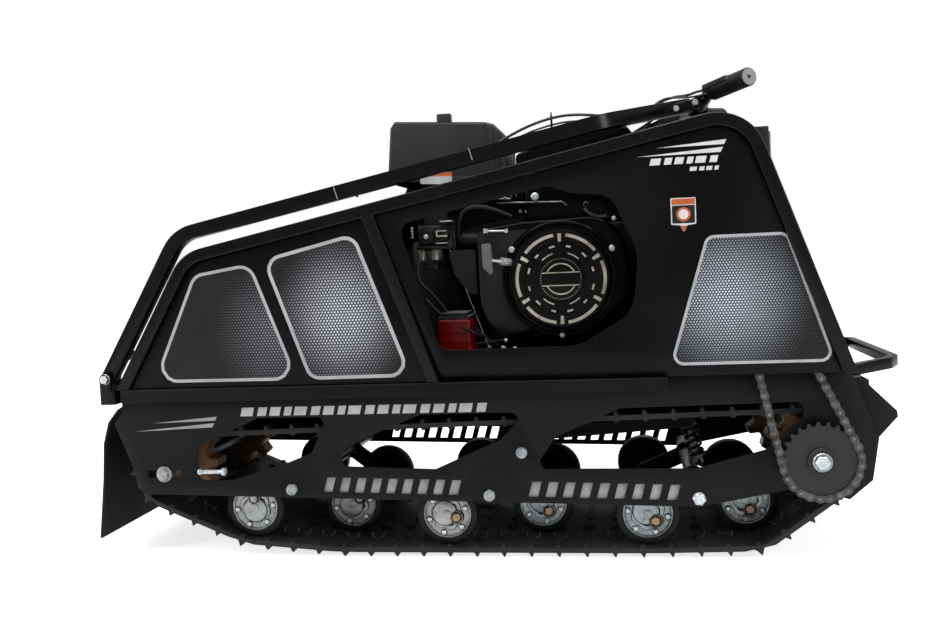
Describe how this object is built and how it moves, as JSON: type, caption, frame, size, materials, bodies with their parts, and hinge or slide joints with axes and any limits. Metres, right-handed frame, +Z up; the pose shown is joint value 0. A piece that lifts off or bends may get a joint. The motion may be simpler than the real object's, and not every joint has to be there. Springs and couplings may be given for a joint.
{
  "type": "tracked snow towing vehicle",
  "caption": "Walk-behind tracked snow tug with an open body over a wide rubber track, side plates on rollers, and a folding drawbar with a handlebar.",
  "frame": {"origin": "on the ground under the middle of the machine", "axes": "+X forward, +Y to the left, +Z up"},
  "size_m": [1.4842, 0.636, 0.8459],
  "materials": {
    "black_paint": "satin powder coat",
    "grey_paint": "satin",
    "track_rubber": "matte",
    "grip_rubber": "matte",
    "zinc_steel": "zinc plated",
    "brown_plastic": "satin",
    "chain_steel": "oiled",
    "engine_black": "satin",
    "gloss_black_plastic": "gloss",
    "matte_black_plastic": "matte",
    "cast_alloy": "cast",
    "dark_steel": "heat darkened",
    "red_plastic": "satin",
    "lens_plastic": "clear"
  },
  "bodies": {
    "chassis": {"air_filter_box": "matte_black_plastic", "battery_box": "red_plastic", "belt_guard": "matte_black_plastic", "body_cross_tubes": "black_paint", "body_hoop_left": "black_paint", "body_hoop_right": "black_paint", "bogie_arms": "black_paint", "carburettor": "cast_alloy", "chain_sprockets": "chain_steel", "deck_floor": "black_paint", "drive_axle": "zinc_steel", "drive_bearings": "black_paint", "drive_chain": "chain_steel", "drive_sprockets": "brown_plastic", "engine_block": "engine_black", "engine_bulkhead": "black_paint", "engine_feet": "black_paint", "engine_side_panel_left": "black_paint", "engine_side_panel_right": "black_paint", "fan_shroud": "gloss_black_plastic", "front_apron": "black_paint", "front_bumper": "black_paint", "front_cover": "black_paint", "fuel_tank": "matte_black_plastic", "headlight_housing": "matte_black_plastic", "headlight_lens": "lens_plastic", "hinge_brackets": "black_paint", "idler_axle": "zinc_steel", "idler_sprockets": "brown_plastic", "intake_pipes": "matte_black_plastic", "jackshaft": "zinc_steel", "jackshaft_bearings": "black_paint", "mud_flap": "track_rubber", "muffler": "dark_steel", "rear_cover": "black_paint", "rear_side_panel_left": "black_paint", "rear_side_panel_right": "black_paint", "recoil_cover": "gloss_black_plastic", "roller_axles": "zinc_steel", "roller_discs": "zinc_steel", "roller_rubbers": "track_rubber", "shock_absorbers": "black_paint", "shock_links": "black_paint", "side_plate_left": "black_paint", "side_plate_right": "black_paint", "sill_rails": "black_paint", "slot_inserts": "grey_paint", "suspension_cross_tubes": "zinc_steel", "tow_hitch": "black_paint", "track_belt": "track_rubber", "track_tensioners": "zinc_steel"},
    "drawbar_assembly": {"control_cables": "matte_black_plastic", "control_levers": "cast_alloy", "drawbar": "black_paint", "handle_grips": "grip_rubber", "handlebar": "black_paint", "handlebar_clamp": "black_paint"}
  },
  "joints": [
    {"name": "drawbar_hinge", "type": "hinge", "parent": "chassis", "child": "drawbar_assembly", "pos_m": [-0.6935, 0, 0.348], "axis": [0, -1, 0], "range_deg": [0, 125]}
  ]
}
